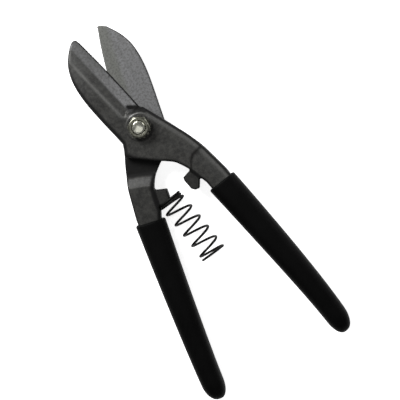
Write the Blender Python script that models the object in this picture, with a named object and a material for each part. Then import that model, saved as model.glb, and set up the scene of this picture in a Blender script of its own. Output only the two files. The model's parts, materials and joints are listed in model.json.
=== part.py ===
"""Forged tin snips with one pivot, dipped grips and a coil opening spring.

The tool lies flat. +Y runs from the pivot to the blade tips, +X to the right, +Z up.
The origin is on the pivot's axis, on the underside of the bolt's head.
"""
import math

import bmesh
import bpy
from mathutils import Vector

MM = 0.001
GAP = 0.3

# Heights, in millimetres. Lever heights are measured from the shear plane.
SHEAR_Z = 9.3
SHEAR_GAP = 0.15
BOSS_TOP = 6.4
ARM_TOP = 5.4
LUG_HALF = 4.6

# Pivot hardware
BOLT_R = 4.0
HEAD_R = 8.0
HEAD_H = 2.6
HEAD_CHAMFER = 0.8
NUT_ACROSS = 12.7
NUT_TURN = math.radians(29.0)
NUT_H = 5.4
NUT_CHAMFER = 1.1
WASHER_R = 7.4
WASHER_ROOT_R = 6.4
WASHER_H = 0.9
WASHER_TEETH = 14
BOLT_PROUD = 1.3

# The levers' crank: heights change along lines across each arm, at these distances from the pivot
CRANK_ANGLE = math.radians(23.0)
RAMP_START = 29.5
RAMP_END = 37.5
STEP_START = 38.0
STEP_END = 39.0

# Where the blades' cutting edges start, and the way they run, as on the left blade
EDGE_HEEL = Vector((5.8, 12.0))
EDGE_AXIS = Vector((-12.0, 54.3)).normalized()

# What differs in plan between the two levers, both drawn as the upper one: left blade, right arm.
# The cutting edge is a shallow arc from the heel to the tip; the nose follows the tip.
FRONT = {"tip": Vector((-6.2, 66.3)), "sagitta": 0.45,
         "nose": [(-7.2, 68.1), (-8.8, 68.6), (-10.6, 68.0), (-13.2, 66.0)],
         "eye": [(1.5, -25.8), (7.2, -30.0), (10.2, -34.0), (12.9, -38.6), (16.1, -46.4), (18.1, -51.5)],
         "shoulder": [(33.0, -50.0), (30.4, -40.0), (27.6, -30.0), (23.8, -20.0), (18.7, -10.0),
                      (15.4, -3.8)],
         "lug": [(18.0, -40.0), (12.9, -39.4), (6.9, -41.2), (6.5, -43.4), (7.6, -49.8),
                 (9.5, -51.8), (12.1, -52.2), (15.3, -47.2), (18.0, -47.0)]}
REAR = {"tip": Vector((-8.3, 66.2)), "sagitta": 2.1,
        "nose": [(-8.7, 68.0), (-9.5, 68.4), (-11.2, 67.9), (-14.2, 65.5)],
        "eye": [(1.5, -25.9), (7.3, -30.2), (10.7, -34.1), (13.3, -38.6), (15.6, -46.4), (17.2, -51.5)],
        "shoulder": [(33.0, -50.0), (30.2, -40.0), (27.3, -30.0), (23.4, -20.0), (18.4, -10.0),
                     (15.3, -3.8)],
        "lug": [(18.0, -39.5), (12.9, -39.2), (6.5, -42.0), (6.9, -46.0), (7.9, -49.4),
                (9.4, -50.6), (10.9, -50.6), (13.6, -46.6), (18.0, -47.0)]}

# Grips: a straight, slightly tapered sleeve, measured down its own centre line
GRIP_MOUTH = Vector((26.1, -56.0))
GRIP_ANGLE = math.radians(10.0)
GRIP_LENGTH = 122.8
GRIP_STRAIGHT = 111.0
GRIP_HALF_W = 9.6
GRIP_TAPER = 0.0235
GRIP_HALF_H = 8.0
GRIP_WALL = 2.1
TANG_LENGTH = 110.0

# Opening spring
WIRE_R = 0.8
COIL_R = 7.85
COIL_LEAN = 0.26
SPRING_SEAT = Vector((-7.7, -49.6))
SPRING_TILT = math.radians(7.85)
SPRING_LENGTH = 43.5
SPRING_BOW = 0.4
FIRST_TURN = -0.3
LAST_TURN = 7.5
SEATED_PITCH = 1.68
SEATED_FROM = 0.77
OPEN_PITCH = 8.45
OPEN_FROM = 1.72


def clear_scene():
    for obj in list(bpy.data.objects):
        bpy.data.objects.remove(obj, do_unlink=True)


def material(name, colour, roughness, metallic):
    mat = bpy.data.materials.new(name)
    mat.use_nodes = True
    shader = mat.node_tree.nodes["Principled BSDF"]
    shader.inputs["Base Color"].default_value = (*colour, 1.0)
    shader.inputs["Roughness"].default_value = roughness
    shader.inputs["Metallic"].default_value = metallic
    return mat


def new_object(name, bm, mat=None):
    """Turns a bmesh in millimetres into an object in metres."""
    bmesh.ops.scale(bm, vec=(MM, MM, MM), verts=bm.verts)
    bmesh.ops.recalc_face_normals(bm, faces=bm.faces)
    mesh = bpy.data.meshes.new(name)
    bm.to_mesh(mesh)
    bm.free()
    if mat:
        mesh.materials.append(mat)
    obj = bpy.data.objects.new(name, mesh)
    bpy.context.scene.collection.objects.link(obj)
    return obj


def smooth(obj, angle=35.0):
    obj.data.shade_smooth()
    obj.data.set_sharp_from_angle(angle=math.radians(angle))


def loft(sections):
    """A closed solid through rings of 3D points, capped at both ends."""
    bm = bmesh.new()
    rings = [[bm.verts.new(p) for p in section] for section in sections]
    count = len(rings[0])
    for low, high in zip(rings, rings[1:]):
        for i in range(count):
            j = (i + 1) % count
            bm.faces.new((low[i], low[j], high[j], high[i]))
    bm.faces.new(rings[0])
    bm.faces.new(rings[-1])
    return bm


def prism(outline, z_low, z_high):
    return loft([[(x, y, z_low) for x, y in outline], [(x, y, z_high) for x, y in outline]])


def turned(profile, sides):
    """A solid of revolution about Z from (radius, height) pairs with radius above zero."""
    def ring(radius, height):
        angles = [2 * math.pi * i / sides for i in range(sides)]
        return [(radius * math.cos(a), radius * math.sin(a), height) for a in angles]
    return loft([ring(r, h) for r, h in profile])


def modify(obj, other, operation):
    """Adds a Boolean with a hidden guide object."""
    other.hide_render = True
    other.display_type = "WIRE"
    boolean = obj.modifiers.new(operation.lower(), "BOOLEAN")
    boolean.object = other
    boolean.operation = operation
    boolean.solver = "EXACT"


def bake(obj, guides):
    """Applies an object's modifiers and removes the guides they used."""
    bpy.context.view_layer.update()
    depsgraph = bpy.context.evaluated_depsgraph_get()
    mesh = bpy.data.meshes.new_from_object(obj.evaluated_get(depsgraph))
    obj.modifiers.clear()
    obj.data = mesh
    for guide in guides:
        bpy.data.objects.remove(guide, do_unlink=True)


def spline(points, steps):
    """A Catmull-Rom curve through the points, with the given steps per span."""
    pts = [Vector(p) for p in points]
    pts = [2 * pts[0] - pts[1]] + pts + [2 * pts[-1] - pts[-2]]
    out = []
    for a, b, c, d in zip(pts, pts[1:], pts[2:], pts[3:]):
        for k in range(steps):
            t = k / steps
            out.append(0.5 * (2 * b + (c - a) * t + (2 * a - 5 * b + 4 * c - d) * t ** 2
                              + (3 * b - a - 3 * c + d) * t ** 3))
    out.append(pts[-2])
    return out


def grip_point(down, out):
    """A point of the right grip's plan: down its centre line, then out from it."""
    along = Vector((math.sin(GRIP_ANGLE), -math.cos(GRIP_ANGLE)))
    across = Vector((math.cos(GRIP_ANGLE), math.sin(GRIP_ANGLE)))
    return GRIP_MOUTH + along * down + across * out


def grip_half_width(down):
    return GRIP_HALF_W - GRIP_TAPER * down


def tang_outline(start, clearance=0.0):
    """Plan of the tang inside a grip, from its inner side round its end to its outer side."""
    inset = GRIP_WALL + GAP - clearance
    radius = grip_half_width(TANG_LENGTH) - inset
    angles = [math.pi * (k / 8 - 1) for k in range(9)]
    end = [grip_point(TANG_LENGTH - radius * math.sin(a), radius * math.cos(a)) for a in angles]
    start_half = grip_half_width(start) - inset
    return [grip_point(start, -start_half)] + end + [grip_point(start, start_half)]


def cutting_edge(tip, sagitta):
    """Arc from the blade's heel to its tip."""
    chord = tip - EDGE_HEEL
    bulge = Vector((chord.y, -chord.x)).normalized() * sagitta
    ts = [k / 8 for k in range(9)]
    return [EDGE_HEEL + chord * t + bulge * 4 * t * (1 - t) for t in ts]


def lever_outline(design):
    """Plan of one lever: blade, boss and arm, without its lug."""
    nose = design["nose"]
    blade_back = spline([nose[-1], (-18.8, 58.0), (-21.8, 50.0), (-22.8, 41.0),
                         (-22.1, 30.0), (-19.9, 18.0), (-17.2, 6.0), (-15.2, -3.5)], 3)
    heel = [(-18.2, -11.4), (-0.8, -24.4)]
    eye = spline(design["eye"], 2)
    shoulder = spline(design["shoulder"], 2)
    crotch = [(7.6, 10.4)]
    return (cutting_edge(design["tip"], design["sagitta"]) + nose[:-1] + blade_back + heel + eye
            + tang_outline(-1.0) + shoulder + crotch)


def crank_cutter(profile):
    """A prism that runs across the right arm, from (distance along the arm, height) pairs."""
    across = Vector((math.cos(CRANK_ANGLE), math.sin(CRANK_ANGLE), 0))
    along = Vector((math.sin(CRANK_ANGLE), -math.cos(CRANK_ANGLE), 0))
    ends = [across * side * 120 for side in (-1, 1)]
    return loft([[end + along * a + Vector((0, 0, z)) for a, z in profile] for end in ends])


def blade_cutter():
    """Everything above the left blade: ground bevel, hollow, ridge and outer slope."""
    inward = Vector((-EDGE_AXIS.y, EDGE_AXIS.x))
    widths = (-4.0, 6.5, 12.5, 26.0)
    stations = [(-2.0, (6.8, 6.8, 6.8, 6.8)), (0.5, (-0.8, 4.6, 6.5, 6.3)),
                (14.0, (-0.8, 4.2, 6.2, 4.6)), (34.0, (-0.8, 4.1, 5.8, 3.6)),
                (62.0, (-0.6, 2.6, 3.0, 2.2))]
    sections = []
    for distance, heights in stations:
        base = EDGE_HEEL + EDGE_AXIS * distance
        low = [(*(base + inward * w), z) for w, z in zip(widths, heights)]
        high = [(*(base + inward * w), BOSS_TOP + 4.0) for w in reversed(widths)]
        sections.append(low + high)
    bm = loft(sections)
    bmesh.ops.triangulate(bm, faces=bm.faces)
    return bm


def lever_mesh(design):
    """One forging, drawn as the upper one about the pivot's axis, its shear face just over Z = 0."""
    lever = new_object("forging", prism(lever_outline(design), -ARM_TOP, BOSS_TOP))
    lug = new_object("lug", prism(design["lug"], -LUG_HALF, LUG_HALF))
    under = new_object("under", crank_cutter([(-120, SHEAR_GAP), (RAMP_START, SHEAR_GAP),
                                              (RAMP_END, -ARM_TOP - 0.2), (RAMP_END, -20),
                                              (-120, -20)]))
    step = new_object("step", crank_cutter([(STEP_START, BOSS_TOP + 1), (STEP_START, BOSS_TOP + 0.1),
                                            (STEP_END, ARM_TOP), (240, ARM_TOP),
                                            (240, BOSS_TOP + 1)]))
    blade = new_object("blade", blade_cutter())
    bore = new_object("bore", turned([(BOLT_R + GAP, -20), (BOLT_R + GAP, 20)], 40))
    modify(lever, under, "DIFFERENCE")
    modify(lever, step, "DIFFERENCE")
    modify(lever, blade, "DIFFERENCE")
    modify(lever, lug, "UNION")
    modify(lever, bore, "DIFFERENCE")
    bake(lever, [lug, under, step, blade, bore])
    mesh = lever.data
    bpy.data.objects.remove(lever)
    return mesh


def place_piece(name, mesh, mat, sharp_angle, turn):
    """A piece of the upper half on the pivot's axis, or turned over for the lower half."""
    mesh.materials.clear()
    mesh.materials.append(mat)
    piece = bpy.data.objects.new(name, mesh)
    bpy.context.scene.collection.objects.link(piece)
    piece.location = (0, 0, SHEAR_Z * MM)
    piece.rotation_euler = (0, turn, 0)
    smooth(piece, sharp_angle)


def grip_section(down, shrink=1.0, sides=28):
    """A rounded-square ring across the right grip."""
    half_width = grip_half_width(down) * shrink
    half_height = GRIP_HALF_H * shrink
    power = 2 / 2.9
    ring = []
    for i in range(sides):
        a = 2 * math.pi * i / sides
        c, s = math.cos(a), math.sin(a)
        place = grip_point(down, half_width * math.copysign(abs(c) ** power, c))
        ring.append((*place, half_height * math.copysign(abs(s) ** power, s)))
    return ring


def grip_mesh():
    """Right grip: a dipped sleeve, open at its mouth, closed and round at its foot."""
    sections = [grip_section(0.0, 0.94), grip_section(1.2)]
    sections += [grip_section(GRIP_STRAIGHT * k / 4) for k in range(1, 5)]
    for k in range(1, 7):
        a = math.pi / 2 * k / 6.4
        down = GRIP_STRAIGHT + (GRIP_LENGTH - GRIP_STRAIGHT) * math.sin(a)
        sections.append(grip_section(down, math.cos(a) ** 0.8))
    grip = new_object("sleeve", loft(sections))
    pocket = new_object("pocket", prism(tang_outline(-5.0, GAP), -ARM_TOP - GAP, ARM_TOP + GAP))
    modify(grip, pocket, "DIFFERENCE")
    bake(grip, [pocket])
    mesh = grip.data
    bpy.data.objects.remove(grip)
    return mesh


def make_bolt(mat):
    """Round low head, shank and thread end in one piece."""
    top = SHEAR_Z + BOSS_TOP + GAP + WASHER_H + GAP + NUT_H + BOLT_PROUD
    profile = [(HEAD_R - HEAD_CHAMFER, 0), (HEAD_R, HEAD_CHAMFER), (HEAD_R, HEAD_H),
               (BOLT_R, HEAD_H), (BOLT_R, top - 0.8), (BOLT_R - 0.8, top)]
    bolt = new_object("pivot_bolt", turned(profile, 40), mat)
    smooth(bolt)
    return bolt


def make_washer(mat):
    """External-tooth lock washer, its teeth cut into a flat ring."""
    ring = []
    steps = WASHER_TEETH * 4
    for i in range(steps):
        radius = WASHER_R if i % 4 < 2 else WASHER_ROOT_R
        a = 2 * math.pi * i / steps
        ring.append((radius * math.cos(a), radius * math.sin(a)))
    z_low = SHEAR_Z + BOSS_TOP + GAP
    washer = new_object("tooth_lock_washer", prism(ring, z_low, z_low + WASHER_H), mat)
    hole = new_object("washer_hole", turned([(BOLT_R + GAP, 0), (BOLT_R + GAP, 40)], 40))
    modify(washer, hole, "DIFFERENCE")
    bake(washer, [hole])
    return washer


def make_nut(mat):
    """Hexagon nut, chamfered on top."""
    z_low = SHEAR_Z + BOSS_TOP + GAP + WASHER_H + GAP
    corner = NUT_ACROSS / 2 / math.cos(math.pi / 6)
    nut = new_object("pivot_nut", turned([(corner, z_low), (corner, z_low + NUT_H)], 6), mat)
    nut.rotation_euler = (0, 0, NUT_TURN)
    crown = new_object("crown", turned([(corner + 1, z_low - 1), (corner + 1, z_low + NUT_H - NUT_CHAMFER),
                                        (NUT_ACROSS / 2 - 0.8, z_low + NUT_H)], 48))
    hole = new_object("nut_hole", turned([(BOLT_R + GAP, 0), (BOLT_R + GAP, 40)], 40))
    modify(nut, crown, "INTERSECT")
    modify(nut, hole, "DIFFERENCE")
    bake(nut, [crown, hole])
    smooth(nut, 20)
    return nut


def spring_travel(turn):
    """How far down the spring's axis the wire is: seated turns, open turns, then a flat last coil."""
    seated = SEATED_PITCH * (turn - SEATED_FROM)
    opened = OPEN_PITCH * (turn - OPEN_FROM)
    return min(max(seated, opened), SPRING_LENGTH)


def spring_path():
    """Helix of the spring, slightly bowed along its axis."""
    per_turn = 26
    points = []
    for i in range(int((LAST_TURN - FIRST_TURN) * per_turn) + 1):
        turn = FIRST_TURN + i / per_turn
        travel = sum(spring_travel(turn + shift) for shift in (-0.2, -0.1, 0.0, 0.1, 0.2)) / 5
        a = 2 * math.pi * turn
        side = COIL_R * math.cos(a) + SPRING_BOW * math.sin(math.pi * travel / SPRING_LENGTH)
        points.append(Vector((side, -travel - COIL_LEAN * math.cos(a), COIL_R * math.sin(a))))
    return points


def make_spring(mat):
    """Bare wire coil, hooked over the left lug and free at its lower end."""
    curve = bpy.data.curves.new("opening_spring", "CURVE")
    curve.dimensions = "3D"
    curve.bevel_depth = WIRE_R * MM
    curve.bevel_resolution = 2
    curve.use_fill_caps = True
    path = spring_path()
    line = curve.splines.new("POLY")
    line.points.add(len(path) - 1)
    for point, place in zip(line.points, path):
        point.co = (*(place * MM), 1.0)
    curve.materials.append(mat)
    spring = bpy.data.objects.new("opening_spring", curve)
    spring.location = (SPRING_SEAT.x * MM, SPRING_SEAT.y * MM, SHEAR_Z * MM)
    spring.rotation_euler = (0, 0, SPRING_TILT)
    bpy.context.scene.collection.objects.link(spring)
    return spring


def main():
    clear_scene()
    forged = material("forged_steel", (0.10, 0.10, 0.095), 0.45, 0.9)
    nickel = material("nickel_plate", (0.72, 0.71, 0.66), 0.25, 1.0)
    vinyl = material("dipped_vinyl", (0.012, 0.012, 0.012), 0.5, 0.0)
    wire = material("spring_wire", (0.05, 0.05, 0.05), 0.35, 0.9)
    place_piece("front_lever", lever_mesh(FRONT), forged, 25, 0)
    place_piece("rear_lever", lever_mesh(REAR), forged, 25, math.pi)
    sleeve = grip_mesh()
    place_piece("right_grip", sleeve, vinyl, 40, 0)
    place_piece("left_grip", sleeve, vinyl, 40, math.pi)
    make_bolt(nickel)
    make_washer(nickel)
    make_nut(nickel)
    make_spring(wire)


main()
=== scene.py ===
import json
import math
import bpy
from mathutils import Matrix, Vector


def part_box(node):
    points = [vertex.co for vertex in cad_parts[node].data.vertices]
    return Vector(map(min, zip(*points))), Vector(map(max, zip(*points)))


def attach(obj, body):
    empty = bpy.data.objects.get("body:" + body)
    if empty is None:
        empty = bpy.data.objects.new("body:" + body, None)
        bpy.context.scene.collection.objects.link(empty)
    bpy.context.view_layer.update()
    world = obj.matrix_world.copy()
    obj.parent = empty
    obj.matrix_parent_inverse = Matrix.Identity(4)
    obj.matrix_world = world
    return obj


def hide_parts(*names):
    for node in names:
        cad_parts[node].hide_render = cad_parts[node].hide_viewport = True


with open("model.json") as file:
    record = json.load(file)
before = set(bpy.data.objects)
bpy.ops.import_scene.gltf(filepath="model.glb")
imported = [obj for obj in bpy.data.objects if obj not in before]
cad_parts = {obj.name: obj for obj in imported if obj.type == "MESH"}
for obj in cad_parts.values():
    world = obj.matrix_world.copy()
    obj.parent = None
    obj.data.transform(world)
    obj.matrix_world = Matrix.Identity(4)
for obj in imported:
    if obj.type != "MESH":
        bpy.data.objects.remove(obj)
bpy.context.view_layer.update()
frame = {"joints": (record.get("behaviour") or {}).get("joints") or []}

from types import SimpleNamespace

import bpy
import numpy as np
from mathutils import Matrix, Vector

MM = 0.001

# ---------------------------------------------------------------- facts read from the frame, in mm
PIVOT = frame["joints"][0]
SWAY = frame["joints"][1]
SHEAR_Z = PIVOT["pos_m"][2] / MM
LEVER_LOW, LEVER_HIGH = (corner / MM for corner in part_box("front_lever"))
BOSS_TOP = LEVER_HIGH.z - SHEAR_Z
ARM_TOP = SHEAR_Z - LEVER_LOW.z
GRIP_LOW, GRIP_HIGH = (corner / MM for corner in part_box("right_grip"))
GRIP_HALF_H = (GRIP_HIGH.z - GRIP_LOW.z) / 2
NUT_LOW, NUT_HIGH = (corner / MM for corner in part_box("pivot_nut"))
WASHER_LOW, WASHER_HIGH = (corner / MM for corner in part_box("tooth_lock_washer"))
_, BOLT_HIGH = (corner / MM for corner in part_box("pivot_bolt"))

# ---------------------------------------------------------------- the dipped sleeves, in mm
GRIP_MOUTH = np.array((26.1, -56.0))
GRIP_ANGLE = math.radians(10.0)
GRIP_LENGTH = 122.8
GRIP_STRAIGHT = 111.0
GRIP_HALF_W = 9.8
GRIP_TAPER = 0.0228
GRIP_SHIFT = 0.25
GRIP_BOW = 0.55
GRIP_WALL = 2.1
GRIP_POINTS = 48
SKIN_POWER = 2 / 2.7
POCKET_POWER = 2 / 9
POCKET_FROM = 0.3
LIP_DEPTH = 1.3
LIP_SHARES = (0.87, 0.13)
BELOW_LIP = 3
FOOT_POWER = 0.8
FOOT_STEPS = 12.3
MOUTH_FADE = 20
SWELL_BASE = 0.35
GAP = 0.3
TANG_LENGTH = 110.0
# "stretch" scales a sleeve's length and "swell" widens its middle. "foot" is how far its end turns
# in, and how suddenly. "mouth" is how much higher its mouth is, and "slant" how much more so on its
# outer side.
RIGHT = {"stretch": 1.006, "foot": (1.9, 7), "mouth": 0.35, "slant": -0.35, "swell": 0.35}
LEFT = {"stretch": 0.986, "foot": (1.3, 16), "mouth": 1.35, "slant": 0.65, "swell": 0.0}

# ---------------------------------------------------------------- the forgings, in mm
# Both are drawn as the upper lever: pivot at (0, 0), shear plane at z = 0, blade up, arm right.
# A blur is a set of shifts that a profile is averaged over, which softens its corners.
SHEAR_GAP = 0.15
LUG_HALF = 4.6
BORE_R = 4.3
CRANK_ANGLE = math.radians(23.0)
RAMP = (29.5, 37.5)
RAMP_BLUR = (-0.6, -0.2, 0.2, 0.6)
STEP = (34.6, 36.9)
STEP_ANGLE = math.radians(14.1)
STEP_CURVE = 0.15
STEP_CURVE_FROM = 20.5
SEAT_R = 8.9
SEAT_RISE = 0.3
SEAT_BLEND = 0.25
HEEL = ((-18.2, -11.4), (-0.8, -24.4))
HEEL_FADE = (1.5, 4.0)
CROTCH = (7.6, 10.4)
BLADE_BACK = ((-18.8, 58.0), (-21.8, 50.0), (-22.8, 41.0), (-22.1, 30.0), (-19.9, 18.0),
              (-17.2, 6.0), (-15.2, -3.5))
# A line down the middle of the boss and the arm: y, then x
ARM_MIDDLE = ((-52, -40, -30, -20, -10, 0, 10), (25, 21.8, 17.5, 12.5, 8.5, 6, 3))

EDGE_HEEL = np.array((5.8, 12.0))
EDGE_TIP = np.array((-6.2, 66.3))
FRONT = {"sleeve": RIGHT, "tip": EDGE_TIP, "sagitta": 0.45,
         "nose": [(-7.2, 68.0), (-8.8, 68.4), (-10.5, 67.8), (-13.1, 65.8)],
         "eye": [(1.5, -25.8), (7.2, -30.0), (10.2, -34.0), (12.9, -38.6), (16.1, -46.4),
                 (18.1, -51.5)],
         "shoulder": [(33.0, -50.0), (30.4, -40.0), (27.6, -30.0), (23.8, -20.0), (18.7, -10.0),
                      (15.4, -3.8)],
         "lug": [(18.0, -40.0), (12.9, -39.4), (6.9, -41.2), (6.5, -43.4), (7.6, -49.8),
                 (9.5, -51.8), (12.1, -52.2), (15.3, -47.2), (18.0, -47.0)]}
REAR = {"sleeve": LEFT, "tip": np.array((-8.3, 66.2)), "sagitta": 2.1,
        "nose": [(-8.7, 68.0), (-9.5, 68.4), (-11.2, 67.9), (-14.2, 65.5)],
        "eye": [(1.5, -25.9), (7.3, -30.2), (10.7, -34.1), (13.3, -38.6), (15.3, -46.4),
                (16.2, -51.5)],
        "shoulder": [(33.0, -50.0), (30.2, -40.0), (27.3, -30.0), (23.4, -20.0), (18.4, -10.0),
                     (15.3, -3.8)],
        "lug": [(18.0, -39.0), (12.9, -39.0), (6.1, -42.0), (6.9, -46.0), (7.9, -49.4),
                (9.4, -50.6), (11.5, -50.4), (14.6, -49.0), (18.0, -49.6)]}

# Blade heights: stations up the blade, each with a height at every width in from the edge
BLADE_WIDTHS = (-4.0, 6.5, 12.5, 26.0)
BLADE_STATIONS = ((-2.0, (6.8, 6.8, 6.8, 6.8)), (0.5, (-0.8, 4.6, 6.5, 6.3)),
                  (14.0, (-0.8, 4.2, 6.2, 4.6)), (34.0, (-0.8, 4.1, 5.8, 3.6)),
                  (62.0, (-0.6, 2.6, 3.0, 2.2)))
BLADE_BLUR = (-0.9, -0.3, 0.3, 0.9)
GROUND_FROM = 10.5
GROUND_WIDTH = 8.0
HONED_LIP = 0.5
HONED_SLOPE = 1.9
# The wall that ends the ground part has two faces: a point on each, and the way it faces
WALL_AT_EDGE = ((6.2, 10.4), (0.538, 0.843))
WALL_INBOARD = ((-0.5, 14.3), (-0.505, 0.863))
WALL_STEEPNESS = 1.2
WALL_SHIFT = 0.6
WALL_FADE = (7.0, 12.0)

# Radii of the forgings' edges
KEEN_ROUND = 0.12
TOP_ROUND = 1.9
HEEL_LESS = 1.3
BACK_MORE = 1.3
UNDER_ROUND = 0.15
ARM_UNDER_MORE = 1.45
LUG_ROUND = 0.9
LUG_FILLET = 1.4
BORE_ROUND = 0.2

# ---------------------------------------------------------------- pivot hardware, in mm
NUT_HALF = 12.7 / 2
NUT_TURN = math.radians(29.0)
NUT_ROUND = 0.12
NUT_CROWN = 0.45
NUT_FOOT = 0.3
NUT_SINK_R = 4.6
THREAD_PITCH = 1.25
THREAD_DEPTH = 0.42
THREAD_R = 4.0
THREAD_FROM = SHEAR_Z + 4
THREAD_FLANK = (0.15, 0.85)
HEAD_H = 2.6
HEAD_ROUND = 0.7
END_DOME_R = 16.0
END_ROUND = 0.35
SHANK_FROM = 0.5
FREE_BORE_R = 4.2
SMALL_ROUND = 0.1
WASHER_TEETH = 14
WASHER_ROOT_R = 6.4
WASHER_TIP_R = WASHER_HIGH.x - 0.15
WASHER_HALF = 0.36
TOOTH_RISE = (0.0, 0.12)
TOOTH_FALL = (0.52, 0.64)
TOOTH_MIDDLE = 0.32
TOOTH_TWIST = 0.9
TOOTH_HEIGHT = 0.4
WASHER_BORE_ROUND = 0.08
CHAMFER_SLOPE = (0.5, 0.866)
SINK_SLOPE = 0.707
# A distance is scaled down where a thread or a tooth would make it rise too fast.
THREAD_SCALE = 0.8
TOOTH_SCALE = 0.75

# ---------------------------------------------------------------- the opening spring, in mm
COIL_R = 7.85
WIRE_R = 0.8
WIRE_SIDES = 14
SPRING_POINTS = 431
SPRING_SHIFT = np.array((-0.2, 0.2, 0.0))
SPRING_TILT = math.radians(7.85)
SPRING_LENGTH = 43.2
SPRING_BOW = 0.4
COIL_LEAN = 0.26
FIRST_TURN = 0.0
LAST_TURN = 7.5
SEATED_PITCH = 1.6
SEATED_FROM = 0.72
OPEN_PITCH = 8.45
OPEN_FROM = 1.72
TURN_BLUR = (-0.2, -0.1, 0.0, 0.1, 0.2)
# The turns at the seat are a little tighter, and the last half turn lifts and comes down again.
SEATED_TIGHTER = 0.45
SEATED_TURNS = (1.0, 1.6)
END_COIL_FROM = 7.0
END_LIFT = 0.5

LEVER_STEP, LEVER_STEP_QUICK = 0.45, 1.0
NUT_STEP, NUT_STEP_QUICK = 0.17, 0.5
BOLT_STEP, BOLT_STEP_QUICK = 0.2, 0.5
WASHER_STEP, WASHER_STEP_QUICK = 0.14, 0.4


# ---------------------------------------------------------------- plans
def spline(points, steps):
    """A Catmull-Rom curve through the points."""
    pts = [np.array(p, float) for p in points]
    pts = [2 * pts[0] - pts[1]] + pts + [2 * pts[-1] - pts[-2]]
    out = []
    for a, b, c, d in zip(pts, pts[1:], pts[2:], pts[3:]):
        for k in range(steps):
            t = k / steps
            out.append(0.5 * (2 * b + (c - a) * t + (2 * a - 5 * b + 4 * c - d) * t ** 2
                              + (3 * b - a - 3 * c + d) * t ** 3))
    out.append(pts[-2])
    return out


def grip_point(down, out, sleeve):
    """A point beside the grip's axis, which bows a little outward and comes back in at its foot."""
    along = np.array((math.sin(GRIP_ANGLE), -math.cos(GRIP_ANGLE)))
    across = np.array((math.cos(GRIP_ANGLE), math.sin(GRIP_ANGLE)))
    share = down / GRIP_LENGTH
    foot_in, power = sleeve["foot"]
    bow = GRIP_SHIFT + GRIP_BOW * math.sin(math.pi * share) - foot_in * share ** power
    return GRIP_MOUTH + along * down + across * (out + bow)


def grip_half_width(down):
    return GRIP_HALF_W - GRIP_TAPER * down


def tang_outline(start, sleeve):
    """The tang inside a sleeve, from its inner side round its end to its outer side."""
    inset = GRIP_WALL + GAP
    radius = grip_half_width(TANG_LENGTH) - inset
    angles = [math.pi * (k / 8 - 1) for k in range(9)]
    end = [grip_point(TANG_LENGTH - radius * math.sin(a), radius * math.cos(a), sleeve) for a in angles]
    start_half = grip_half_width(start) - inset
    return [grip_point(start, -start_half, sleeve)] + end + [grip_point(start, start_half, sleeve)]


def cutting_edge(tip, sagitta):
    """A shallow arc from the blade's heel to its tip."""
    chord = tip - EDGE_HEEL
    bulge = np.array((chord[1], -chord[0])) / np.linalg.norm(chord) * sagitta
    return [EDGE_HEEL + chord * t + bulge * 4 * t * (1 - t) for t in np.linspace(0, 1, 17)]


def lever_outline(design):
    """Plan of the upper lever: left blade, boss and right arm."""
    nose = design["nose"]
    blade_back = spline([nose[-1], *BLADE_BACK], 6)
    eye = spline(design["eye"], 4)
    tang = tang_outline(-1.0, design["sleeve"])
    shoulder = spline(design["shoulder"], 4)
    return np.array(cutting_edge(design["tip"], design["sagitta"]) + nose[:-1] + blade_back
                    + list(HEEL) + eye + tang + shoulder + [CROTCH])


# ---------------------------------------------------------------- distances and blends
def outline_distance(x, y, outline):
    """Signed distance in the plane from an outline, negative inside."""
    best = np.full(x.shape, 1e9)
    sign = np.ones(x.shape)
    for (ax, ay), (bx, by) in zip(outline, np.roll(outline, 1, axis=0)):
        ex, ey = bx - ax, by - ay
        wx, wy = x - ax, y - ay
        t = np.clip((wx * ex + wy * ey) / (ex * ex + ey * ey), 0, 1)
        best = np.minimum(best, (wx - ex * t) ** 2 + (wy - ey * t) ** 2)
        above, below = y >= ay, y < by
        left = ex * wy > ey * wx
        flip = (above & below & left) | (~above & ~below & ~left)
        sign = np.where(flip, -sign, sign)
    return sign * np.sqrt(best)


def segment_distance(x, y, start, end):
    """Distance in the plane from a straight line between two points."""
    (ax, ay), (bx, by) = start, end
    ex, ey = bx - ax, by - ay
    t = np.clip(((x - ax) * ex + (y - ay) * ey) / (ex * ex + ey * ey), 0, 1)
    return np.hypot(x - ax - ex * t, y - ay - ey * t)


def both(a, b, radius):
    """Where two solids meet, with a round edge."""
    u, v = np.maximum(a + radius, 0), np.maximum(b + radius, 0)
    return np.minimum(-radius, np.maximum(a, b)) + np.hypot(u, v)


def either(a, b, radius):
    """Two solids joined, with a fillet."""
    return -both(-a, -b, radius)


def ease(x, low, high):
    """0 below low, 1 above high, and smooth between."""
    t = np.clip((x - low) / (high - low), 0, 1)
    return t * t * (3 - 2 * t)


def band(x, rise, fall):
    """1 between two places, easing in over the first span and out over the second."""
    return ease(x, *rise) * (1 - ease(x, *fall))


def stripe(x, centre, width):
    """1 on a line, falling off on both sides of it."""
    return np.exp(-((x - centre) / width) ** 2)


# ---------------------------------------------------------------- shape of the forgings
def blade_coordinates(x, y):
    """Distance up the blade from its heel, and inward from its cutting edge."""
    along = (EDGE_TIP - EDGE_HEEL) / np.linalg.norm(EDGE_TIP - EDGE_HEEL)
    wx, wy = x - EDGE_HEEL[0], y - EDGE_HEEL[1]
    return wx * along[0] + wy * along[1], -wx * along[1] + wy * along[0]


def past_wall(x, y):
    """How far a point is up the blade from the two-faced wall that ends its ground part."""
    faces = [(x - at[0]) * way[0] + (y - at[1]) * way[1] for at, way in (WALL_AT_EDGE, WALL_INBOARD)]
    return np.maximum(*faces)


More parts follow.
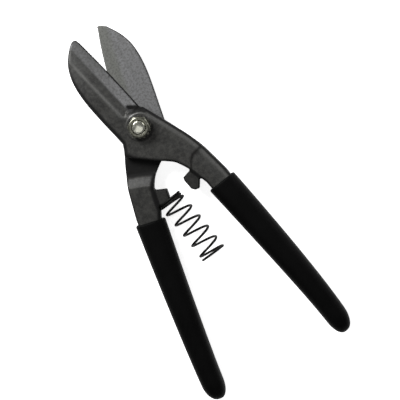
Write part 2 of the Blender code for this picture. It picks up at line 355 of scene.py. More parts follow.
def blade_height(x, y):
    """Top of the blade: ground bevel, hollow, ridge and outer slope, thinner to the tip."""
    up, inward = blade_coordinates(x, y)
    wall_top, wall_foot = BLADE_STATIONS[0][0], BLADE_STATIONS[1][0]
    climb = past_wall(x, y) * WALL_STEEPNESS - WALL_SHIFT
    from_wall = np.clip(climb, wall_top, wall_foot) + np.maximum(up - wall_foot, 0)
    up = from_wall + (up - from_wall) * ease(inward, *WALL_FADE)
    total = 0
    for shift in BLADE_BLUR:
        levels = [np.interp(inward + shift, BLADE_WIDTHS, heights) for _, heights in BLADE_STATIONS]
        height = levels[0]
        for (start, _), (end, _), level in zip(BLADE_STATIONS, BLADE_STATIONS[1:], levels[1:]):
            t = np.clip((up - start) / (end - start), 0, 1)
            height = height * (1 - t) + level * t
        total = total + height
    return total / len(BLADE_BLUR)


def arm_distance(x, y, angle=CRANK_ANGLE):
    return x * math.sin(angle) - y * math.cos(angle)


def on_outer_side(x, y):
    """Whether a point is nearer the outline's outer side than the eye between the arms."""
    return x > np.interp(y, *ARM_MIDDLE)


def ramp_share(x, y):
    """How far down the crank a point is, from 0 on the boss to 1 on the arm."""
    down_arm = arm_distance(x, y)
    start, end = RAMP
    shares = (np.clip((down_arm + shift - start) / (end - start), 0, 1) for shift in RAMP_BLUR)
    return sum(shares) / len(RAMP_BLUR)


def heel_nearness(x, y):
    """1 along the heel's straight edge, falling to 0 a few millimetres away."""
    return 1 - ease(segment_distance(x, y, *HEEL), *HEEL_FADE)


def down_step(x, y):
    """How far down the arm a point is, along a line that curves back on the eye's side."""
    return arm_distance(x, y, STEP_ANGLE) - STEP_CURVE * np.maximum(STEP_CURVE_FROM - x, 0) ** 2


def top_height(x, y, plan):
    """Top of the lever: raised seat, boss, lower arm, blade, and the slope down to the keen edge."""
    seat_edge = ease(np.hypot(x, y), SEAT_R - SEAT_BLEND, SEAT_R + SEAT_BLEND)
    boss = BOSS_TOP - SEAT_RISE * seat_edge
    plate = boss + (ARM_TOP - boss) * ease(down_step(x, y), *STEP)
    _, inward = blade_coordinates(x, y)
    at_edge = (y > GROUND_FROM) & (inward < GROUND_WIDTH)
    honed = np.where(at_edge, HONED_LIP + HONED_SLOPE * np.maximum(-plan, 0), np.inf)
    return np.minimum(np.minimum(plate, blade_height(x, y)), honed)


def back_share(x, y):
    """1 along the thick lower half of the blade's back, falling to 0 at its tip and elsewhere."""
    return ease(-x, 9, 12) * ease(y, -16, -10) * (1 - ease(y, 24, 62))


def lever_field(x, y, z, outline, lug):
    """The whole forging, about the pivot's axis and with the shear plane at z = 0."""
    plan = outline_distance(x, y, outline)
    up, inward = blade_coordinates(x, y)
    keen = (up > -0.5) & (inward < GROUND_WIDTH)
    dull_round = TOP_ROUND - HEEL_LESS * heel_nearness(x, y) + BACK_MORE * back_share(x, y)
    ramp = ramp_share(x, y)
    under = SHEAR_GAP - (ARM_TOP + SHEAR_GAP) * ramp
    plate = both(plan, z - top_height(x, y, plan), np.where(keen, KEEN_ROUND, dull_round))
    plate = both(plate, under - z, UNDER_ROUND + ARM_UNDER_MORE * ramp)
    block = both(outline_distance(x, y, lug), np.abs(z) - LUG_HALF, LUG_ROUND)
    body = either(plate, block, LUG_FILLET)
    return both(body, BORE_R - np.hypot(x, y), BORE_ROUND)


# ---------------------------------------------------------------- meshes from distance functions
def surface(field, low, step):
    """A quad mesh of where a sampled field is zero, by naive surface nets."""
    inside = field < 0
    cells = tuple(n - 1 for n in field.shape)
    corners = [(i, j, k) for i in (0, 1) for j in (0, 1) for k in (0, 1)]
    held = sum(inside[i:i + cells[0], j:j + cells[1], k:k + cells[2]].astype(np.int8)
               for i, j, k in corners)
    mixed = (held > 0) & (held < 8)
    index = np.full(cells, -1)
    index[mixed] = np.arange(mixed.sum())
    cell = np.argwhere(mixed)
    total, crossings = np.zeros(cell.shape), np.zeros(len(cell))
    for axis in range(3):
        for corner in (c for c in corners if c[axis] == 0):
            first = cell + corner
            second = first.copy()
            second[:, axis] += 1
            a, b = field[tuple(first.T)], field[tuple(second.T)]
            crossed = (a < 0) != (b < 0)
            place = first.astype(float)
            place[:, axis] += np.where(crossed, a / np.where(crossed, a - b, 1), 0)
            total[crossed] += place[crossed]
            crossings += crossed
    verts = total / crossings[:, None] * step + np.array(low)
    quads = []
    for axis in range(3):
        b, c = (axis + 1) % 3, (axis + 2) % 3
        near = [slice(1, -1)] * 3
        near[axis] = slice(0, -1)
        far = list(near)
        far[axis] = slice(1, None)
        first, second = inside[tuple(near)], inside[tuple(far)]
        for outward in (True, False):
            found = np.argwhere(first & ~second if outward else ~first & second)
            found[:, b] += 1
            found[:, c] += 1
            ring = []
            for db, dc in ((1, 1), (0, 1), (0, 0), (1, 0)):
                at = found.copy()
                at[:, b] -= db
                at[:, c] -= dc
                ring.append(index[tuple(at.T)])
            quads.append(np.stack(ring if outward else ring[::-1], axis=1))
    return verts, np.concatenate(quads)


def sampled(function, low, high, step):
    """A solid's mesh from its distance function, between two corners."""
    axes = [np.arange(a - 2 * step, b + 2.5 * step, step) for a, b in zip(low, high)]
    x, y = np.meshgrid(axes[0], axes[1], indexing="ij")
    field = np.stack([function(x, y, np.full(x.shape, z)) for z in axes[2]], axis=2)
    verts, quads = surface(field, [a[0] for a in axes], step)
    nudge, flattest, furthest = 0.05, 0.2, 0.4 * step
    for _ in range(2):
        here = function(*verts.T)
        slope = np.stack([(function(*(verts + nudge * unit).T) - here) / nudge
                          for unit in np.eye(3)], axis=1)
        size = np.maximum((slope ** 2).sum(axis=1), flattest)
        move = -(here / size)[:, None] * slope
        verts = verts + np.clip(move, -furthest, furthest)
    return verts, quads


def mesh_object(name, verts, faces, body, mat, smooth_angle=None):
    """Puts a millimetre mesh into the scene on its body."""
    if isinstance(faces, np.ndarray):
        faces = faces.tolist()
    mesh = bpy.data.meshes.new(name)
    mesh.from_pydata((verts * MM).tolist(), [], faces)
    mesh.validate()
    mesh.shade_smooth()
    if smooth_angle:
        mesh.set_sharp_from_angle(angle=math.radians(smooth_angle))
    mesh.materials.append(mat)
    obj = bpy.data.objects.new(name, mesh)
    bpy.context.scene.collection.objects.link(obj)
    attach(obj, body)
    return obj


def thin_out(obj, share):
    """Keeps the shape with fewer faces, where the surface is flat."""
    decimate = obj.modifiers.new("thin_out", "DECIMATE")
    decimate.ratio = share
    depsgraph = bpy.context.evaluated_depsgraph_get()
    mesh = bpy.data.meshes.new_from_object(obj.evaluated_get(depsgraph))
    obj.modifiers.clear()
    obj.data = mesh


def tube_faces(rings, points):
    """Quads between rings of points, one after another."""
    faces = []
    for r in range(rings - 1):
        for i in range(points):
            j = (i + 1) % points
            faces.append((r * points + i, (r + 1) * points + i, (r + 1) * points + j, r * points + j))
    return faces


# ---------------------------------------------------------------- materials
class Shader:
    """Builds a node material around one Principled BSDF."""

    def __init__(self, name):
        self.mat = bpy.data.materials.new(name)
        self.mat.use_nodes = True
        self.nodes = self.mat.node_tree.nodes
        self.links = self.mat.node_tree.links
        self.bsdf = self.nodes["Principled BSDF"]
        self.coords = self.nodes.new("ShaderNodeTexCoord").outputs["Object"]

    def link(self, a, b):
        self.links.new(a, b)

    def feed(self, socket, value):
        """Links a socket's value, or sets it."""
        if isinstance(value, bpy.types.NodeSocket):
            self.link(value, socket)
        else:
            socket.default_value = value

    def noise(self, scale, detail=4.0, roughness=0.55, stretch=None, turn=0.0):
        vector = self.coords
        if stretch:
            mapping = self.nodes.new("ShaderNodeMapping")
            mapping.inputs["Scale"].default_value = stretch
            mapping.inputs["Rotation"].default_value = (0, 0, turn)
            self.link(vector, mapping.inputs["Vector"])
            vector = mapping.outputs["Vector"]
        node = self.nodes.new("ShaderNodeTexNoise")
        node.inputs["Scale"].default_value = scale
        node.inputs["Detail"].default_value = detail
        node.inputs["Roughness"].default_value = roughness
        self.link(vector, node.inputs["Vector"])
        return node.outputs["Fac"]

    def ramp(self, value, stops):
        """Maps a value to a grey between stops of (position, grey)."""
        node = self.nodes.new("ShaderNodeValToRGB")
        elements = node.color_ramp.elements
        while len(elements) < len(stops):
            elements.new(0.5)
        for element, (place, grey) in zip(elements, stops):
            element.position = place
            element.color = (grey, grey, grey, 1)
        self.link(value, node.inputs["Fac"])
        return node.outputs["Color"]

    def mix(self, share, a, b):
        """A colour mix; a and b are colours or sockets."""
        node = self.nodes.new("ShaderNodeMix")
        node.data_type = "RGBA"
        factor, first, second = node.inputs[0], node.inputs[6], node.inputs[7]
        self.feed(factor, share)
        for socket, value in ((first, a), (second, b)):
            self.feed(socket, (*value, 1) if isinstance(value, tuple) else value)
        return node.outputs[2]

    def math(self, operation, a, b=0.0):
        node = self.nodes.new("ShaderNodeMath")
        node.operation = operation
        for socket, value in zip(node.inputs, (a, b)):
            self.feed(socket, value)
        return node.outputs[0]

    def attribute(self, name):
        node = self.nodes.new("ShaderNodeAttribute")
        node.attribute_name = name
        return node.outputs["Fac"]

    def bump(self, height, distance, strength=1.0, after=None):
        node = self.nodes.new("ShaderNodeBump")
        node.inputs["Distance"].default_value = distance
        node.inputs["Strength"].default_value = strength
        self.link(height, node.inputs["Height"])
        if after:
            self.link(after, node.inputs["Normal"])
        return node.outputs["Normal"]

    def finish(self, colour, roughness, normal, metallic, specular=0.5):
        self.link(colour, self.bsdf.inputs["Base Color"])
        self.link(roughness, self.bsdf.inputs["Roughness"])
        self.link(normal, self.bsdf.inputs["Normal"])
        self.bsdf.inputs["Metallic"].default_value = metallic
        self.bsdf.inputs["Specular IOR Level"].default_value = specular
        return self.mat


def forged_steel():
    """Dark mill scale; the mesh marks ground faces, painted highlights, a lighter rim strip, and
    darkening that is partly scale and partly painted shade.
    """
    scale_dark, scale_light = (0.024, 0.024, 0.023), (0.037, 0.037, 0.035)
    fleck, grit = (0.062, 0.061, 0.057), (0.070, 0.069, 0.065)
    ground_and_highlight_dark, ground_and_highlight_light = (0.152, 0.153, 0.154), (0.195, 0.195, 0.201)
    honed, pit = (0.130, 0.135, 0.113), (0.085, 0.086, 0.080)
    highlight_and_rim_grey, scale_and_shade_black = (0.15, 0.15, 0.145), (0.008, 0.008, 0.008)
    dark_roughness = (0.8, 0.8, 0.8)
    s = Shader("forged_steel")
    cloud = s.noise(110, 5)
    mottle = s.noise(430, 4, 0.6)
    grain = s.noise(1300, 3, 0.7)
    scale_and_shade = s.attribute("scale_and_shade")
    dark = s.mix(s.ramp(cloud, [(0.35, 0), (0.68, 1)]), scale_dark, scale_light)
    dark = s.mix(s.ramp(mottle, [(0.42, 0), (0.66, 0.75)]), dark, fleck)
    dark = s.mix(s.ramp(grain, [(0.45, 0), (0.65, 0.4)]), dark, grit)
    scratch = s.noise(420, 4, 0.6, stretch=(1, 0.06, 1), turn=math.radians(75))
    light = s.mix(s.ramp(scratch, [(0.3, 0), (0.7, 1)]), ground_and_highlight_dark, ground_and_highlight_light)
    light = s.mix(s.math("MULTIPLY", s.attribute("honed"), 0.55), light, honed)
    speckle = s.ramp(s.noise(760, 2), [(0.40, 0.55), (0.53, 0)])
    light = s.mix(speckle, light, pit)
    # Ground steel, and a painted highlight on the crank's slope where it faces the light.
    colour = s.mix(s.attribute("ground_and_highlight"), dark, light)
    # Painted highlights on the ridge, its crease and the seat's edge, and a lighter strip inside the
    # arm's rim.
    highlights_and_rim = s.math("MULTIPLY", s.attribute("highlights_and_rim"), s.ramp(grain, [(0.3, 0.5), (0.6, 1)]))
    colour = s.mix(highlights_and_rim, colour, highlight_and_rim_grey)
    # Dark scale on the edges, with painted shade and shadow on edges, lugs, notch, recess, under the
    # boss and below the nut.
    colour = s.mix(scale_and_shade, colour, scale_and_shade_black)
    rough = s.ramp(s.noise(260, 4), [(0.3, 0.42), (0.7, 0.55)])
    rough = s.mix(scale_and_shade, rough, dark_roughness)
    normal = s.bump(cloud, 0.0004, 0.25)
    normal = s.bump(mottle, 0.00012, 0.35, normal)
    normal = s.bump(grain, 0.00006, 0.45, normal)
    return s.finish(colour, rough, normal, 0.6, specular=0.3)


def plated(name, low, high, rough_low, rough_high):
    """Bright plating, cloudy with handling."""
    s = Shader(name)
    patch = s.noise(700, 4)
    colour = s.mix(s.ramp(patch, [(0.35, 0), (0.7, 1)]), low, high)
    rough = s.ramp(s.noise(1400, 3), [(0.3, rough_low), (0.75, rough_high)])
    normal = s.bump(s.noise(1500, 3), 0.00008, 0.3)
    return s.finish(colour, rough, normal, 1.0)


def dipped_vinyl():
    """Matt black dip, faintly uneven, with a fine pebble."""
    black, faded = (0.0012, 0.0012, 0.0012), (0.0022, 0.0022, 0.0022)
    s = Shader("dipped_vinyl")
    cloud = s.noise(60, 4)
    colour = s.mix(s.ramp(cloud, [(0.3, 0), (0.75, 1)]), black, faded)
    rough = s.ramp(s.noise(700, 4), [(0.3, 0.5), (0.7, 0.66)])
    normal = s.bump(cloud, 0.0006, 0.3)
    normal = s.bump(s.noise(2600, 2), 0.00008, 0.5, normal)
    return s.finish(colour, rough, normal, 0.0, specular=0.05)


def spring_wire():
    """Blackened wire with faint drawing marks."""
    black, grey = (0.002, 0.002, 0.002), (0.007, 0.007, 0.006)
    s = Shader("spring_wire")
    drawn = s.noise(900, 3)
    colour = s.mix(s.ramp(drawn, [(0.35, 0), (0.7, 1)]), black, grey)
    rough = s.ramp(s.noise(1500, 3), [(0.3, 0.45), (0.7, 0.62)])
    normal = s.bump(drawn, 0.00005, 0.4)
    return s.finish(colour, rough, normal, 0.0, specular=0.12)


# ---------------------------------------------------------------- marks on the steel
# Places are in mm on the upper lever. These are the strengths of the marks, where 1 is full.
BEVEL_TIP_LOSS = 0.3
# The crank's share is a painted highlight.
CRANK_HIGHLIGHT = 0.26
HOLLOW_LIGHT = 0.08
TIP_LIGHT = 0.04
OUTER_SLOPE_LIGHT = 0.11
SHOULDER_LIGHT = 0.06
ARM_DARK = 0.14
# The step, lug and recess darkening is painted shade, under the boss a painted shadow on partly dark
# scale, and below the nut a painted shadow.
STEP_SHADE = 0.55
SLOPE_FOOT_DARK = 0.14
LUG_SHADE = 0.5
RECESS_SHADE = 0.8
UNDER_BOSS_SHADOW = 0.9
NUT_SHADOW_DARK = 0.8
# The ridge and seat strengths are painted highlights; the rim is a lighter strip.
RIM_LIGHTER = 0.55
RIDGE_HIGHLIGHT = 0.75
RIDGE_TIP_LOSS = 0.7
SEAT_HIGHLIGHT = 0.5
# A painted highlight along a crease that runs on from the ridge to the washer's seat
CREASE = ((-0.8, 8.2), (-6.6, 11.2))


def places_on(verts, outline, lug):
    """Where each vertex of a forging is, along all the lines that its marks follow."""
    x, y, z = verts.T
    up, inward = blade_coordinates(x, y)
    return SimpleNamespace(
        x=x, y=y, z=z, up=up, inward=inward,
        plan=outline_distance(x, y, outline),
        lug_plan=outline_distance(x, y, lug),
        wall=past_wall(x, y),
        radius=np.hypot(x, y),
        ramp=ramp_share(x, y),
        back=back_share(x, y),
        outer=on_outer_side(x, y),
        on_blade=(up > 0.3) & (y > GROUND_FROM),
        on_bevel=(up > 0.3) & (y > GROUND_FROM) & (inward < 7),
        top_side=z > SHEAR_GAP + 0.25,
        underneath=z < 1.0)


def shear_face(p):
    """The flat face that the other lever slides on."""
    return ~p.top_side * ease(p.y, -14.0, -8.0)


def ground_and_highlight_marks(p):
    """Lighter steel: ground shear face and bevel, a painted highlight on the crank's slope, and a
    little on the upper faces.
    """
    bevel = np.where(p.on_blade & p.top_side, 1 - ease(p.inward, 5.6, 7.4), 0.0)
    bevel = bevel * (1.0 - BEVEL_TIP_LOSS * ease(p.y, 20, 60))
    # Painted highlight on the crank's slope, where it faces the light.
    crank_highlight = CRANK_HIGHLIGHT * band(p.ramp, (0.2, 0.4), (0.85, 1.0)) * p.underneath
    hollow = HOLLOW_LIGHT * band(p.inward, (5, 7), (11, 13)) * (p.y > 12)
    near_tip = TIP_LIGHT * ease(p.y, 30, 60)
    outer_slope = OUTER_SLOPE_LIGHT * ease(p.inward, 11, 13) * ease(p.y, 22, 38)
    shoulder = SHOULDER_LIGHT * ease(-p.y, 16, 24) * p.outer
    brighter = p.top_side * np.maximum.reduce([hollow + near_tip, outer_slope, shoulder])
    return np.maximum.reduce([shear_face(p), bevel, crank_highlight, brighter])


def edge_darkness(p):
    """Darker rounded edges of the plate, without its lug and its ground bevel: partly dark scale,
    partly painted shade. Also painted shade along the step, and darker on the arm's underside and at
    the foot of the outer slope.
    """
    off_tip = 1 - ease(p.y, 45, 56) * (p.x < 0)
    # Rounded edges darkened: partly dark scale, partly painted shade.
    top = ease(p.plan, -1.9 - 2.0 * p.back, -0.6 - 0.9 * p.back) * off_tip * p.top_side
    arm_below = p.underneath & (p.ramp > 0.1)
    under = np.where(p.outer, ease(p.plan, -1.3, -0.5), ease(p.plan, -2.9, -1.4)) * arm_below
    arm_plain = ARM_DARK * p.underneath * ease(p.ramp, 0.85, 1.0)
    # Painted shade along the step down to the arm.
    step_shade = STEP_SHADE * stripe(down_step(p.x, p.y), 35.5, 1.3) * p.top_side
    slope_foot = SLOPE_FOOT_DARK * ease(p.inward, 11, 13) * band(p.y, (2, 10), (20, 32))
    slope_foot = slope_foot * p.top_side
    rim = ease(p.plan, -0.6, -0.2)
    return np.maximum.reduce([top, under, arm_plain, step_shade, slope_foot, rim])


def scale_and_shade_marks(p):
    """Darkened steel: edges, partly dark scale and partly painted shade, and painted shade and shadow
    on the lug, in the notch and recess at the wall, under the boss and below the nut.
    """
    # Painted shade on the lugs, darkest at their edges.
    on_lug = ease(p.plan, 0.0, 0.6)
    lug_edge = np.maximum(LUG_SHADE, ease(p.lug_plan, -1.3, -0.3))
    lug = np.maximum(lug_edge, 1 - ease(p.plan, 0.8, 1.8))
    scale_and_shade = edge_darkness(p) * (1 - on_lug) + on_lug * lug
    # Painted shade on the steep bevel along the keen edge.
    keen_line = np.where(p.on_bevel & p.top_side, 1 - ease(-p.plan, 0.5, 1.0), 0.0)
    scale_and_shade = np.maximum(scale_and_shade * ~p.on_bevel, keen_line)
    # Painted shade in the notch and the recess where the ground part ends at the wall.
    notch_shade = 1 - ease(np.abs(p.wall - 0.1), 0.9, 1.9)
    notch_shade = notch_shade * (1 - ease(p.inward, 5.5, 7.5)) * p.top_side * (p.y > 3)
    recess_shade = RECESS_SHADE * (1 - ease(p.inward, 6.0, 8.0)) * ease(p.radius, 9.3, 9.9)
    recess_shade = recess_shade * (p.wall < 0.5) * (p.y > 6) * p.top_side
    # Painted shadow of the heel under the boss, on steel that is in part dark unground scale.
    under_boss_shadow = UNDER_BOSS_SHADOW * (1 - ease(p.y, -14, -8)) * (1 - ease(p.ramp, 0.12, 0.34))
    under_boss_shadow = under_boss_shadow * (~p.top_side | (p.z < 1.5)) * (p.ramp < 0.4) * (p.z > -3)
    # Painted shadow of the nut: a ring, darker on the side below the nut.
    below_nut = ease(0.24 * p.x - 0.97 * p.y, 1, 6)
    nut_shadow = NUT_SHADOW_DARK * stripe(p.radius, 8.0, 0.8) * below_nut * p.top_side
    return np.maximum.reduce([scale_and_shade, notch_shade, recess_shade, nut_shadow, under_boss_shadow])


def highlight_and_rim_marks(p):
    """Bright lines: painted highlights on the blade's ridge, its crease and the seat's edge, and a
    lighter strip inside the arm's rim.
    """
    # A lighter strip inside the arm's outer edge.
    rim = band(p.plan, (-4.4, -3.0), (-1.9, -1.2)) * p.outer * (p.z > 2) * (1 - ease(p.y, 4, 7))
    # Painted highlights along the blade's ridge and its crease.
    ridge_highlight = stripe(p.inward, 12.3, 1.0) * band(p.up, (1, 3), (50, 58))
    ridge_highlight = ridge_highlight * (1 - RIDGE_TIP_LOSS * ease(p.up, 20, 48))
    crease_highlight = stripe(segment_distance(p.x, p.y, *CREASE), 0, 0.7)
    ridge_highlight = np.maximum(ridge_highlight, crease_highlight) * p.top_side
    # Painted highlight on the seat's edge, on its side above the nut.
    above_nut = ease(0.51 * p.x + 0.86 * p.y, 3, 8)
    seat_edge = stripe(p.radius, SEAT_R + 0.1, 0.5) * above_nut * p.top_side
    return np.maximum.reduce([rim * RIM_LIGHTER, ridge_highlight * RIDGE_HIGHLIGHT, seat_edge * SEAT_HIGHLIGHT])


def honed_marks(p):
    """The warmer strip of the shear face along its cutting edge."""
    return shear_face(p) * (1 - ease(p.inward, 6.0, 9.5)) * p.on_blade


def mark_zones(obj, verts, outline, lug):
    """Writes the marks that the steel's material reads."""
    p = places_on(verts, outline, lug)
    zones = {"ground_and_highlight": ground_and_highlight_marks(p), "scale_and_shade": scale_and_shade_marks(p), "highlights_and_rim": highlight_and_rim_marks(p),
             "honed": honed_marks(p)}
    for name, values in zones.items():
        layer = obj.data.attributes.new(name, "FLOAT", "POINT")
        layer.data.foreach_set("value", np.asarray(values, np.float32))


# ---------------------------------------------------------------- pieces
def make_levers(mat):
    """Both forgings; the lower one is the upper one's design turned over."""
    step = LEVER_STEP
    for name, node, body, side, design in (
            ("front_forging", "front_lever", "front_half", 1, FRONT),
            ("rear_forging", "rear_lever", "rear_half", -1, REAR)):
        outline = lever_outline(design)
        lug = np.array(design["lug"])
        low = (outline[:, 0].min(), outline[:, 1].min(), -ARM_TOP)
        high = (outline[:, 0].max(), outline[:, 1].max(), BOSS_TOP)
        verts, quads = sampled(lambda x, y, z: lever_field(x, y, z, outline, lug), low, high, step)
        placed = verts * (side, 1, side) + (0, 0, SHEAR_Z)
        lever = mesh_object(name, placed, quads, body, mat)
        mark_zones(lever, verts, outline, lug)
        thin_out(lever, 0.45)
        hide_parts(node)


def rounded_ring(down, rise, half_w, half_h, power, sleeve):
    """A rounded-square ring across the right grip; rise(c) moves it up, from c = -1 to 1 across."""
    ring = []
    for i in range(GRIP_POINTS):
        a = 2 * math.pi * i / GRIP_POINTS
        c, s = math.cos(a), math.sin(a)
        place = grip_point(down - rise(c), half_w * math.copysign(abs(c) ** power, c), sleeve)
        ring.append((*place, half_h * math.copysign(abs(s) ** power, s)))
    return ring


def skin_ring(down, shrink, sleeve):
    """A ring of the sleeve's outer skin."""
    near_mouth = max(0, 1 - down / MOUTH_FADE)
    swell = sleeve["swell"] * (math.sin(math.pi * down / GRIP_LENGTH) - SWELL_BASE)
    half_w = (grip_half_width(down) + swell) * shrink
    return rounded_ring(down, lambda c: (sleeve["mouth"] + sleeve["slant"] * c) * near_mouth,
                        half_w, GRIP_HALF_H * shrink, SKIN_POWER, sleeve)


def pocket_ring(down, shrink, sleeve):
    """A ring of the sleeve's pocket, which the tang fills."""
    half_w = (grip_half_width(down) - GRIP_WALL) * shrink
    half_h = (ARM_TOP + GAP) * shrink
    return rounded_ring(down, lambda c: 0, half_w, half_h, POCKET_POWER, sleeve)


def grip_sections():
    """Distance down the sleeve and share of full size, from the lip's inner edge to the foot."""
    lip_turns = [math.pi / 2 * k / 5 for k in range(6)]
    narrow, widening = LIP_SHARES
    lip = [(LIP_DEPTH * (1 - math.cos(a)), narrow + widening * math.sin(a)) for a in lip_turns]
    straight = [(down, 1.0) for down in np.linspace(BELOW_LIP, GRIP_STRAIGHT, 30)]
    foot_length = GRIP_LENGTH - GRIP_STRAIGHT
    foot_turns = [math.pi / 2 * k / FOOT_STEPS for k in range(1, 13)]
    foot = [(GRIP_STRAIGHT + foot_length * math.sin(a), math.cos(a) ** FOOT_POWER)
            for a in foot_turns]
    return lip + straight + foot


def make_grips(mat):
    """Dipped sleeves: outer skin with a rolled lip, and the pocket that the tang fills."""
    for name, node, body, side, design in (("right_sleeve", "right_grip", "front_half", 1, RIGHT),
                                           ("left_sleeve", "left_grip", "rear_half", -1, LEFT)):
        pocket = [pocket_ring(down, 1.0, design) for down in np.linspace(POCKET_FROM, TANG_LENGTH, 8)]
        pocket.append(pocket_ring(TANG_LENGTH + 5.0, 0.35, design))
        skin = [skin_ring(down * design["stretch"], share, design) for down, share in grip_sections()]
        chain = skin[::-1] + pocket
        verts = np.array([p for ring in chain for p in ring])
        faces = tube_faces(len(chain), GRIP_POINTS)
        faces.append(tuple(range(GRIP_POINTS)))
        faces.append(tuple(reversed(range(len(verts) - GRIP_POINTS, len(verts)))))
        placed = verts * (side, 1, side) + (0, 0, SHEAR_Z)
        sleeve = mesh_object(name, placed, faces, body, mat)
        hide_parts(node)


def nut_field(x, y, z):
    """Hexagon nut with its corners chamfered at both ends, and a countersunk bore."""
    height = NUT_HIGH.z - NUT_LOW.z
    radial, axial = CHAMFER_SLOPE
    sides = np.full(x.shape, -1e9)
    for k in range(6):
        a = NUT_TURN + math.pi / 6 + k * math.pi / 3
        sides = np.maximum(sides, x * math.cos(a) + y * math.sin(a) - NUT_HALF)
    radius = np.hypot(x, y)
    solid = both(sides, np.abs(z - height / 2) - height / 2, NUT_ROUND)
    crown = (radius - NUT_HALF + NUT_CROWN) * radial + (z - height) * axial
    solid = both(solid, crown, NUT_ROUND)
    foot = (radius - NUT_HALF - NUT_FOOT) * radial - z * axial
    solid = both(solid, foot, NUT_ROUND)
    solid = both(solid, FREE_BORE_R - radius, SMALL_ROUND)
    sink = NUT_SINK_R - (height - z) - radius
    return both(solid, sink * SINK_SLOPE, SMALL_ROUND)


def make_nut(mat):
    height = NUT_HIGH.z - NUT_LOW.z
    size = NUT_HALF / math.cos(math.pi / 6)
    step = NUT_STEP
    verts, quads = sampled(nut_field, (-size, -size, 0), (size, size, height), step)
    nut = mesh_object("hex_nut", verts + (0, 0, NUT_LOW.z), quads, "rear_half", mat)
    thin_out(nut, 0.5)
    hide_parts("pivot_nut")


def bolt_field(x, y, z):
    """Low round head, shank, and a rolled thread that ends in a shallow dome."""
    radius = np.hypot(x, y)
    turn = np.arctan2(y, x) / (2 * math.pi)
    wave = np.abs(((z / THREAD_PITCH - turn) % 1.0) * 2 - 1)
    groove = THREAD_DEPTH * ease(wave, *THREAD_FLANK) * ease(z, THREAD_FROM - 1, THREAD_FROM)
    shank = (radius - THREAD_R + groove) * THREAD_SCALE
    dome = np.hypot(radius, z - BOLT_HIGH.z + END_DOME_R) - END_DOME_R
    shank = both(shank, dome, END_ROUND)
    head = both(radius - BOLT_HIGH.x, np.abs(z - HEAD_H / 2) - HEAD_H / 2, HEAD_ROUND)
    return np.minimum(both(shank, SHANK_FROM - z, SMALL_ROUND), head)


def make_bolt(mat):
    head_r = BOLT_HIGH.x
    step = BOLT_STEP
    verts, quads = sampled(bolt_field, (-head_r, -head_r, 0), (head_r, head_r, BOLT_HIGH.z), step)
    bolt = mesh_object("bolt", verts, quads, "rear_half", mat)
    thin_out(bolt, 0.5)
    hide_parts("pivot_bolt")


def washer_field(x, y, z):
    """External-tooth lock washer; each tooth is twisted a little out of the ring."""
    thickness = WASHER_HIGH.z - WASHER_LOW.z
    radius = np.hypot(x, y)
    phase = (np.arctan2(y, x) / (2 * math.pi) * WASHER_TEETH) % 1.0
    tooth = band(phase, TOOTH_RISE, TOOTH_FALL)
    rim = WASHER_ROOT_R + (WASHER_TIP_R - WASHER_ROOT_R) * tooth
    on_tooth = ease(radius, WASHER_ROOT_R - 0.7, WASHER_TIP_R) * (tooth > 0.05)
    lift = (phase - TOOTH_MIDDLE) * TOOTH_TWIST * on_tooth
    sheet = np.abs(z - thickness / 2 - lift * TOOTH_HEIGHT) - WASHER_HALF
    solid = both((radius - rim) * TOOTH_SCALE, sheet, SMALL_ROUND)
    return both(solid, FREE_BORE_R - radius, WASHER_BORE_ROUND)


def make_washer(mat):
    reach, spare = WASHER_TIP_R, 0.1
    top = WASHER_HIGH.z - WASHER_LOW.z + spare
    step = WASHER_STEP
    verts, quads = sampled(washer_field, (-reach, -reach, -spare), (reach, reach, top), step)
    verts[:, 2] = np.clip(verts[:, 2], -spare, top)
    washer = mesh_object("lock_washer", verts + (0, 0, WASHER_LOW.z), quads, "rear_half",
                         mat)
    thin_out(washer, 0.6)
    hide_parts("tooth_lock_washer")


def spring_travel(turn):
    """How far down the spring's axis the wire is: seated turns, open turns, then a flat last coil."""
    seated = SEATED_PITCH * (turn - SEATED_FROM)
    opened = OPEN_PITCH * (turn - OPEN_FROM)
    return min(max(seated, opened), SPRING_LENGTH)


def spring_path():
    """Centre line of the wire: slightly bowed, tighter at its seat, its last half turn lifted."""
    seat = np.array(SWAY["pos_m"]) / MM + SPRING_SHIFT
    points = []
    for turn in np.linspace(FIRST_TURN, LAST_TURN, SPRING_POINTS):
        travel = sum(spring_travel(turn + shift) for shift in TURN_BLUR) / len(TURN_BLUR)
        end_share = max(turn - END_COIL_FROM, 0) / (LAST_TURN - END_COIL_FROM)
        travel -= END_LIFT * math.sin(math.pi * end_share)
        a = 2 * math.pi * turn
        radius = COIL_R - SEATED_TIGHTER * (1 - ease(turn, *SEATED_TURNS))
        side = radius * math.cos(a) + SPRING_BOW * math.sin(math.pi * travel / SPRING_LENGTH)
        down = travel + COIL_LEAN * math.cos(a)
        points.append(seat + (side * math.cos(SPRING_TILT) + down * math.sin(SPRING_TILT),
                              side * math.sin(SPRING_TILT) - down * math.cos(SPRING_TILT),
                              radius * math.sin(a)))
    return np.array(points)


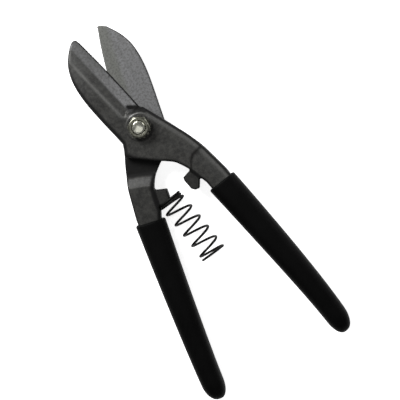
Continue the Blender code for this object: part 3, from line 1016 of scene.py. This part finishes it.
def make_spring(mat):
    """The wire as one swept tube with flat cut ends."""
    path = spring_path()
    forward = np.gradient(path, axis=0)
    forward /= np.linalg.norm(forward, axis=1)[:, None]
    axis = np.array((math.sin(SPRING_TILT), -math.cos(SPRING_TILT), 0))
    across = np.cross(forward, axis)
    across /= np.linalg.norm(across, axis=1)[:, None]
    upward = np.cross(forward, across)
    verts = []
    for place, u, v in zip(path, across, upward):
        for k in range(WIRE_SIDES):
            a = 2 * math.pi * k / WIRE_SIDES
            verts.append(place + WIRE_R * (u * math.cos(a) + v * math.sin(a)))
    faces = [(a, d, c, b) for a, b, c, d in tube_faces(len(path), WIRE_SIDES)]
    faces.append(tuple(reversed(range(WIRE_SIDES))))
    faces.append(tuple(range(len(verts) - WIRE_SIDES, len(verts))))
    spring = mesh_object("coil_spring", np.array(verts), faces, "spring", mat,
                         smooth_angle=40)
    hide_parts("opening_spring")


# ---------------------------------------------------------------- stage, light and camera, in metres
def make_floor():
    """A pale, faintly glowing table just under the bolt's head."""
    half, drop = 3.0, 0.0005
    corners = [(-half, -half, 0), (half, -half, 0), (half, half, 0), (-half, half, 0)]
    mesh = bpy.data.meshes.new("floor")
    mesh.from_pydata(corners, [], [(0, 1, 2, 3)])
    s = Shader("pale_floor")
    colour = s.mix(s.noise(3, 2), (0.93, 0.93, 0.93), (0.95, 0.95, 0.95))
    s.link(colour, s.bsdf.inputs["Base Color"])
    s.bsdf.inputs["Roughness"].default_value = 0.8
    s.bsdf.inputs["Emission Color"].default_value = (1, 1, 1, 1)
    s.bsdf.inputs["Emission Strength"].default_value = 0.8
    mesh.materials.append(s.mat)
    floor = bpy.data.objects.new("floor", mesh)
    floor.location.z = -drop
    bpy.context.scene.collection.objects.link(floor)


def area_light(name, place, aim, size, power):
    light = bpy.data.lights.new(name, "AREA")
    light.shape = "SQUARE"
    light.size = size
    light.energy = power
    obj = bpy.data.objects.new(name, light)
    obj.location = place
    obj.rotation_euler = (Vector(aim) - Vector(place)).to_track_quat("-Z", "Y").to_euler()
    bpy.context.scene.collection.objects.link(obj)


def make_lights():
    """Key light from beyond the tips, a weak one overhead, a fill from the right, and dim air."""
    world = bpy.data.worlds.new("studio")
    bpy.context.scene.world = world
    world.use_nodes = True
    air = world.node_tree.nodes["Background"]
    air.inputs["Color"].default_value = (1, 1, 1, 1)
    air.inputs["Strength"].default_value = 0.15
    area_light("key", (-0.2, 0.8, 0.72), (0, 0, 0), 0.45, 15)
    area_light("overhead", (-0.25, -0.25, 1.5), (0, -0.05, 0), 0.9, 2.0)
    area_light("fill", (0.9, 0.1, 0.45), (0, -0.05, 0), 0.5, 3.2)


def make_camera():
    """Looks down on the tool, turned so that the blades point up and to the left."""
    turn = math.radians(30.9)
    distance = 0.75
    view_width = 0.254
    centre = Vector((0.0083, -0.0590, SHEAR_Z * MM))
    back = Vector((0.095, 0.043, 1.0)).normalized()
    camera = bpy.data.cameras.new("camera")
    camera.sensor_width = 36
    camera.lens = camera.sensor_width * distance / view_width
    camera.clip_start, camera.clip_end = 0.05, 20
    obj = bpy.data.objects.new("camera", camera)
    obj.location = centre + back * distance
    lean = Vector((0, 0, 1)).rotation_difference(back).to_matrix().to_4x4()
    obj.rotation_euler = (lean @ Matrix.Rotation(-turn, 4, "Z")).to_euler()
    bpy.context.scene.collection.objects.link(obj)
    bpy.context.scene.camera = obj


make_camera()
make_lights()
make_floor()
make_levers(forged_steel())
make_grips(dipped_vinyl())
make_bolt(plated("bolt_plate", (0.60, 0.60, 0.51), (0.77, 0.77, 0.67), 0.14, 0.24))
# The washer's plating is dark: partly a dark finish, partly painted shade that sinks it into the nut's
# shadow.
make_washer(plated("washer_plate", (0.07, 0.07, 0.06), (0.15, 0.15, 0.125), 0.3, 0.45))
make_nut(plated("nut_plate", (0.12, 0.12, 0.095), (0.215, 0.215, 0.18), 0.24, 0.38))
make_spring(spring_wire())
bpy.context.scene.view_settings.view_transform = "Standard"
